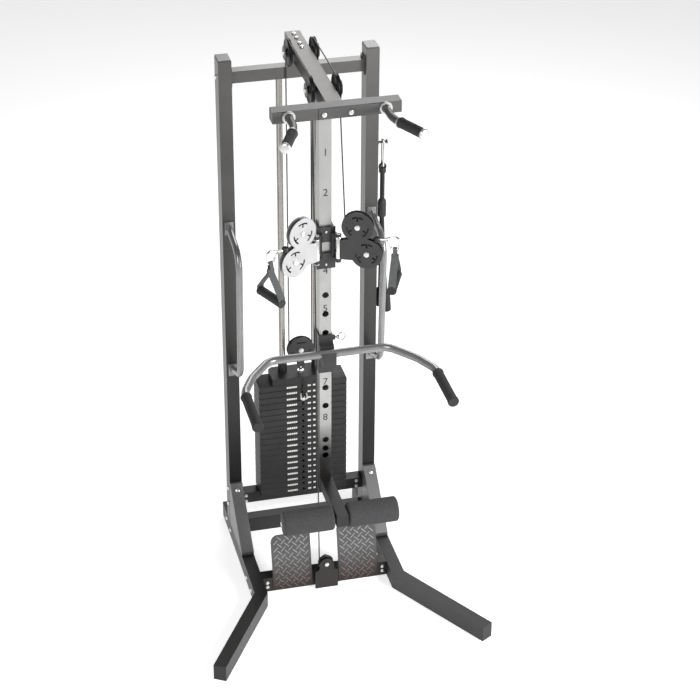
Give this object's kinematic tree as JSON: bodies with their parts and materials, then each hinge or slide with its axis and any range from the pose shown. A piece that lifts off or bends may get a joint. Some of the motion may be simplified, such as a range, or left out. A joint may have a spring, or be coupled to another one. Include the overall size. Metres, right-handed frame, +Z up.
{
  "type": "cable tower with weight stack",
  "caption": "Free-standing cable tower: pinned weight stack, twin swivel pulleys with stirrup handles, pull-up bar, lat bar in a sliding hanger, leg rollers and tread foot plates.",
  "frame": {"origin": "floor level, at the centre of the footprint's bounding box", "axes": "+Z up; -Y is the front, where the user stands; +X is to the right as seen from the front"},
  "size_m": [1.0848, 1.0639, 2.171],
  "materials": {
    "frame_paint": "satin powder coat, charcoal black",
    "panel_paint": "satin powder coat, mid grey",
    "column_paint": "satin silver-grey metallic",
    "chrome": "polished",
    "casting": "black, fine sand-cast, white marks on the front edge",
    "nylon": "moulded black",
    "grip_rubber": "matte black",
    "foam": "matte dark grey foam skin",
    "tread_steel": "grey, raised diamond tread",
    "cable": "black coated steel cable",
    "webbing": "woven grey nylon",
    "rope": "black braided nylon",
    "cage_steel": "grey steel plate, satin"
  },
  "bodies": {
    "frame": {"upright_left": "frame_paint", "upright_right": "frame_paint", "top_crossbar": "frame_paint", "boom": "frame_paint", "column": "column_paint", "roller_arm": "frame_paint", "pullup_bar": "frame_paint", "pullup_grip_left": "grip_rubber", "pullup_grip_right": "grip_rubber", "grab_handle_left": "frame_paint", "grab_handle_right": "frame_paint", "base_leg_left": "frame_paint", "base_leg_right": "frame_paint", "brace_left": "panel_paint", "brace_right": "panel_paint", "stack_base": "frame_paint", "rear_cross": "frame_paint", "front_cross": "frame_paint", "tread_left": "tread_steel", "tread_right": "tread_steel", "guide_rod_left": "chrome", "guide_rod_right": "chrome", "roller_axle": "chrome", "plates_resting": "casting", "cable_main": "cable", "cable_low": "cable"},
    "carriage": {"carriage": "frame_paint"},
    "carriage_pin": {"carriage_pin": "chrome"},
    "weight": {"stack_head": "casting", "plates_lifted": "casting", "float_block": "cage_steel", "pin_lanyard": "cable"},
    "selector": {"selector_pin": "chrome"},
    "hanger": {"hanger": "frame_paint"},
    "hanger_pin": {"hanger_pin": "chrome"},
    "lat_bar": {"lat_bar": "frame_paint", "lat_grip_left": "grip_rubber", "lat_grip_right": "grip_rubber"},
    "rope": {"rope_carabiner": "chrome", "triceps_rope": "rope"},
    "low_pulley": {"low_pulley": "nylon"},
    "stack_pulley": {"stack_pulley": "nylon"},
    "cage_left": {"cage_left": "cage_steel"},
    "cage_pulley_left_upper": {"cage_pulley_left_upper": "nylon"},
    "cage_pulley_left_lower": {"cage_pulley_left_lower": "nylon"},
    "boom_pulley_left_front": {"boom_pulley_left_front": "nylon"},
    "boom_pulley_left_rear": {"boom_pulley_left_rear": "nylon"},
    "link_left": {"link_left": "chrome"},
    "handle_left": {"strap_left": "webbing", "grip_left": "grip_rubber"},
    "roller_left": {"roller_pad_left": "foam"},
    "cage_right": {"cage_right": "cage_steel"},
    "cage_pulley_right_upper": {"cage_pulley_right_upper": "nylon"},
    "cage_pulley_right_lower": {"cage_pulley_right_lower": "nylon"},
    "boom_pulley_right_front": {"boom_pulley_right_front": "nylon"},
    "boom_pulley_right_rear": {"boom_pulley_right_rear": "nylon"},
    "link_right": {"link_right": "chrome"},
    "handle_right": {"strap_right": "webbing", "grip_right": "grip_rubber"},
    "roller_right": {"roller_pad_right": "foam"}
  },
  "joints": [
    {"name": "weight_lift", "type": "slide", "parent": "frame", "child": "weight", "axis": [0, 0, 1], "range_m": [0, 0.95], "deforming": ["cable_main"]},
    {"name": "selector_pull", "type": "slide", "parent": "weight", "child": "selector", "axis": [0, -1, 0], "range_m": [0, 0.11], "deforming": ["pin_lanyard"]},
    {"name": "stack_pulley_spin", "type": "hinge", "parent": "weight", "child": "stack_pulley", "pos_m": [0, 0.383, 0.846], "axis": [0, 1, 0], "continuous": true},
    {"name": "low_pulley_spin", "type": "hinge", "parent": "frame", "child": "low_pulley", "pos_m": [0, -0.04, 0.112], "axis": [0, 1, 0], "continuous": true},
    {"name": "carriage_slide", "type": "slide", "parent": "frame", "child": "carriage", "axis": [0, 0, 1], "range_m": [-0.1575, 0.315], "deforming": ["cable_main"]},
    {"name": "carriage_pin_pull", "type": "slide", "parent": "carriage", "child": "carriage_pin", "axis": [0, 1, 0], "range_m": [-0.0105, 0.004], "stiffness_N_per_m": 500, "springref_m": -0.014},
    {"name": "hanger_slide", "type": "slide", "parent": "frame", "child": "hanger", "axis": [0, 0, 1], "range_m": [-0.315, 0.1575]},
    {"name": "hanger_pin_pull", "type": "slide", "parent": "hanger", "child": "hanger_pin", "axis": [1, 0, 0], "range_m": [-0.0085, 0.004], "stiffness_N_per_m": 500, "springref_m": -0.012},
    {"name": "lat_bar_lift", "type": "slide", "parent": "hanger", "child": "lat_bar", "axis": [0, 0, 1], "range_m": [0, 0.12]},
    {"name": "rope_swing", "type": "hinge", "parent": "frame", "child": "rope", "pos_m": [0.3205, 0.37, 1.718], "axis": [1, 0, 0], "range_deg": [-20, 20]},
    {"name": "cage_swivel_left", "type": "hinge", "parent": "carriage", "child": "cage_left", "pos_m": [-0.04, -0.073, 1.527], "axis": [0, 0, 1], "range_deg": [-40, 60], "deforming": ["cable_main"]},
    {"name": "cage_pulley_left_upper_spin", "type": "hinge", "parent": "cage_left", "child": "cage_pulley_left_upper", "pos_m": [-0.10395, -0.10147, 1.618], "axis": [-0.4067, 0.9135, 0], "continuous": true},
    {"name": "cage_pulley_left_lower_spin", "type": "hinge", "parent": "cage_left", "child": "cage_pulley_left_lower", "pos_m": [-0.13501, -0.1153, 1.513], "axis": [-0.4067, 0.9135, 0], "continuous": true},
    {"name": "boom_pulley_left_front_spin", "type": "hinge", "parent": "frame", "child": "boom_pulley_left_front", "pos_m": [-0.047, -0.008, 2.121], "axis": [1, 0, 0], "continuous": true},
    {"name": "boom_pulley_left_rear_spin", "type": "hinge", "parent": "frame", "child": "boom_pulley_left_rear", "pos_m": [-0.047, 0.337, 2.121], "axis": [1, 0, 0], "continuous": true},
    {"name": "pull_left", "type": "slide", "parent": "cage_left", "child": "link_left", "axis": [-0.9135, -0.4067, 0], "range_m": [0, 0.95], "deforming": ["cable_main"]},
    {"name": "handle_swing_left", "type": "hinge", "parent": "link_left", "child": "handle_left", "pos_m": [-0.22819, -0.15679, 1.538], "axis": [-0.9135, -0.4067, 0], "range_deg": [-30, 30]},
    {"name": "roller_spin_left", "type": "hinge", "parent": "frame", "child": "roller_left", "pos_m": [-0.1245, -0.27, 0.489], "axis": [1, 0, 0], "continuous": true},
    {"name": "cage_swivel_right", "type": "hinge", "parent": "carriage", "child": "cage_right", "pos_m": [0.04, -0.073, 1.527], "axis": [0, 0, 1], "range_deg": [-60, 40], "deforming": ["cable_main"]},
    {"name": "cage_pulley_right_upper_spin", "type": "hinge", "parent": "cage_right", "child": "cage_pulley_right_upper", "pos_m": [0.10395, -0.10147, 1.618], "axis": [0.4067, 0.9135, 0], "continuous": true},
    {"name": "cage_pulley_right_lower_spin", "type": "hinge", "parent": "cage_right", "child": "cage_pulley_right_lower", "pos_m": [0.13501, -0.1153, 1.513], "axis": [0.4067, 0.9135, 0], "continuous": true},
    {"name": "boom_pulley_right_front_spin", "type": "hinge", "parent": "frame", "child": "boom_pulley_right_front", "pos_m": [0.047, -0.008, 2.121], "axis": [1, 0, 0], "continuous": true},
    {"name": "boom_pulley_right_rear_spin", "type": "hinge", "parent": "frame", "child": "boom_pulley_right_rear", "pos_m": [0.047, 0.337, 2.121], "axis": [1, 0, 0], "continuous": true},
    {"name": "pull_right", "type": "slide", "parent": "cage_right", "child": "link_right", "axis": [0.9135, -0.4067, 0], "range_m": [0, 0.95], "deforming": ["cable_main"]},
    {"name": "handle_swing_right", "type": "hinge", "parent": "link_right", "child": "handle_right", "pos_m": [0.22819, -0.15679, 1.538], "axis": [0.9135, -0.4067, 0], "range_deg": [-30, 30]},
    {"name": "roller_spin_right", "type": "hinge", "parent": "frame", "child": "roller_right", "pos_m": [0.1245, -0.27, 0.489], "axis": [1, 0, 0], "continuous": true}
  ],
  "couplings": [
    {"joint": "cage_pulley_left_upper_spin", "follows": "weight_lift", "rad_per_m": 21.739},
    {"joint": "boom_pulley_left_front_spin", "follows": "weight_lift", "rad_per_m": 21.739},
    {"joint": "boom_pulley_left_rear_spin", "follows": "weight_lift", "rad_per_m": 21.739},
    {"joint": "pull_left", "follows": "weight_lift", "ratio": 1},
    {"joint": "cage_pulley_right_upper_spin", "follows": "weight_lift", "rad_per_m": -21.739},
    {"joint": "boom_pulley_right_front_spin", "follows": "weight_lift", "rad_per_m": 21.739},
    {"joint": "boom_pulley_right_rear_spin", "follows": "weight_lift", "rad_per_m": 21.739},
    {"joint": "pull_right", "follows": "weight_lift", "ratio": 1}
  ]
}
